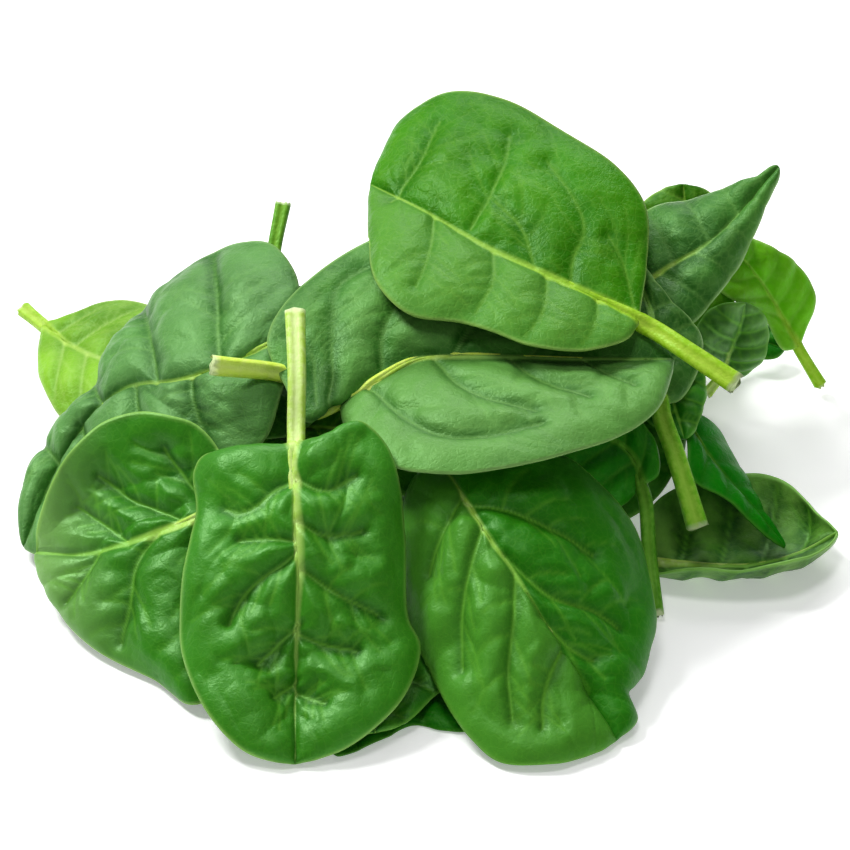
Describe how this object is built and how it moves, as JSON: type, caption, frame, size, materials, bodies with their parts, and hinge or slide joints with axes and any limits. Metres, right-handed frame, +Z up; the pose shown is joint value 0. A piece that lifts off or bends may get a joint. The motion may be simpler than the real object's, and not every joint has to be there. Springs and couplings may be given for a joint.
{
  "type": "spinach bunch",
  "caption": "Loose heap of fresh spinach leaves with puckered blades, ribs and cut stalks, lying on a surface.",
  "frame": {"origin": "on the table, under the middle of the heap's box", "axes": "+Z up, -Y to the front of the heap, +X to the right as seen from the front"},
  "size_m": [0.1826, 0.1753, 0.0636],
  "materials": {
    "bright_leaf": "satin, waxy, bright yellow-green",
    "yellow_green_leaf": "satin, thin and back-lit, yellow-green",
    "grey_green_leaf": "satin with a greyish waxy sheen",
    "deep_green_leaf": "satin to glossy, deep green",
    "dark_green_leaf": "satin, dark green",
    "inner_leaf": "satin, mid green"
  },
  "bodies": {
    "root": {"top_leaf": "bright_leaf", "right_leaf": "bright_leaf", "back_right_leaf": "bright_leaf", "notch_leaf": "bright_leaf", "far_left_leaf": "yellow_green_leaf", "centre_leaf": "grey_green_leaf", "left_leaf": "grey_green_leaf", "pointed_leaf": "grey_green_leaf", "hanging_stalk_leaf": "grey_green_leaf", "stalk_up_leaf": "grey_green_leaf", "front_centre_leaf": "deep_green_leaf", "front_right_leaf": "deep_green_leaf", "front_left_leaf": "deep_green_leaf", "small_crumpled_leaf": "deep_green_leaf", "boat_leaf": "deep_green_leaf", "small_shade_leaf": "deep_green_leaf", "leaning_leaf": "dark_green_leaf", "under_stalk_leaf": "dark_green_leaf", "floor_lobe_right": "dark_green_leaf", "floor_leaf_front": "dark_green_leaf", "floor_leaf_left": "dark_green_leaf", "floor_leaf_centre": "deep_green_leaf", "inner_leaf_low": "inner_leaf", "inner_leaf_back": "inner_leaf", "inner_leaf_back_right": "inner_leaf", "inner_leaf_back_left": "inner_leaf", "inner_leaf_left": "inner_leaf", "inner_leaf_middle": "inner_leaf", "inner_leaf_upper": "inner_leaf", "inner_leaf_right": "inner_leaf"}
  },
  "joints": []
}
